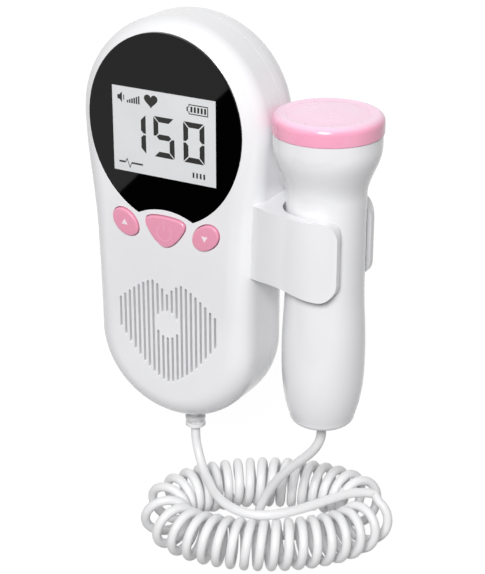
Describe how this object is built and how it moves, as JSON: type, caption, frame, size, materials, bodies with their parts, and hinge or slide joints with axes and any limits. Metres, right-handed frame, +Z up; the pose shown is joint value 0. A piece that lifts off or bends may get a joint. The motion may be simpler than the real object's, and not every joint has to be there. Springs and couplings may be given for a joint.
{
  "type": "fetal doppler monitor",
  "caption": "Pocket fetal doppler: pear-shaped unit with a round display, pink keys and a heart-shaped speaker grille, a probe in a side clip and a curly cord.",
  "frame": {"origin": "on the flat back face of the unit, on its centre plane, level with the centre of the round head and display window", "axes": "+Z up the unit, +Y out of the flat back face (the display faces -Y), +X towards the probe"},
  "size_m": [0.1016, 0.0668, 0.1802],
  "materials": {
    "white_housing": "glossy",
    "black_window": "mirror gloss",
    "display_glass": "pale grey liquid crystal display",
    "light_plastic": "matte",
    "pink_plastic": "satin gloss",
    "grey_rubber": "matte",
    "circuit_board": "satin",
    "black_plastic": "matte",
    "speaker_metal": "satin",
    "cell_sleeve": "plain sleeve",
    "plated_steel": "bright plating",
    "white_cord": "satin",
    "crystal": "matte ceramic"
  },
  "bodies": {
    "unit": {"front_shell": "white_housing", "back_shell": "white_housing", "display_window": "black_window", "lcd_panel": "display_glass", "lcd_frame": "light_plastic", "button_membrane": "grey_rubber", "main_board": "circuit_board", "board_screws": "plated_steel", "tact_switches": "black_plastic", "speaker": "speaker_metal", "speaker_gasket": "grey_rubber", "battery_cells": "cell_sleeve", "battery_contacts": "plated_steel", "case_screws": "plated_steel", "probe_clip": "white_housing", "clip_screws": "plated_steel", "strain_relief": "white_cord", "cord_unit_lead": "white_cord", "cord_coil": "white_cord", "cord_probe_lead": "white_cord"},
    "power_button": {"power_button": "pink_plastic"},
    "volume_up_button": {"volume_up_button": "pink_plastic"},
    "volume_down_button": {"volume_down_button": "pink_plastic"},
    "battery_cover": {"battery_cover": "white_housing"},
    "probe": {"probe_body": "white_housing", "probe_cap": "pink_plastic", "probe_crystals": "crystal", "crystal_backing": "grey_rubber", "probe_board": "circuit_board", "probe_bushing": "white_cord"}
  },
  "joints": [
    {"name": "power_press", "type": "slide", "parent": "unit", "child": "power_button", "axis": [0, 1, 0], "range_m": [0, 0.0008], "stiffness_N_per_m": 400},
    {"name": "volume_up_press", "type": "slide", "parent": "unit", "child": "volume_up_button", "axis": [0, 1, 0], "range_m": [0, 0.0008], "stiffness_N_per_m": 400},
    {"name": "volume_down_press", "type": "slide", "parent": "unit", "child": "volume_down_button", "axis": [0, 1, 0], "range_m": [0, 0.0008], "stiffness_N_per_m": 400},
    {"name": "battery_cover_lift", "type": "slide", "parent": "unit", "child": "battery_cover", "axis": [0, 1, 0], "range_m": [0, 0.025]},
    {"name": "probe_lift", "type": "slide", "parent": "unit", "child": "probe", "axis": [0, 0, 1], "range_m": [0, 0.09]}
  ]
}
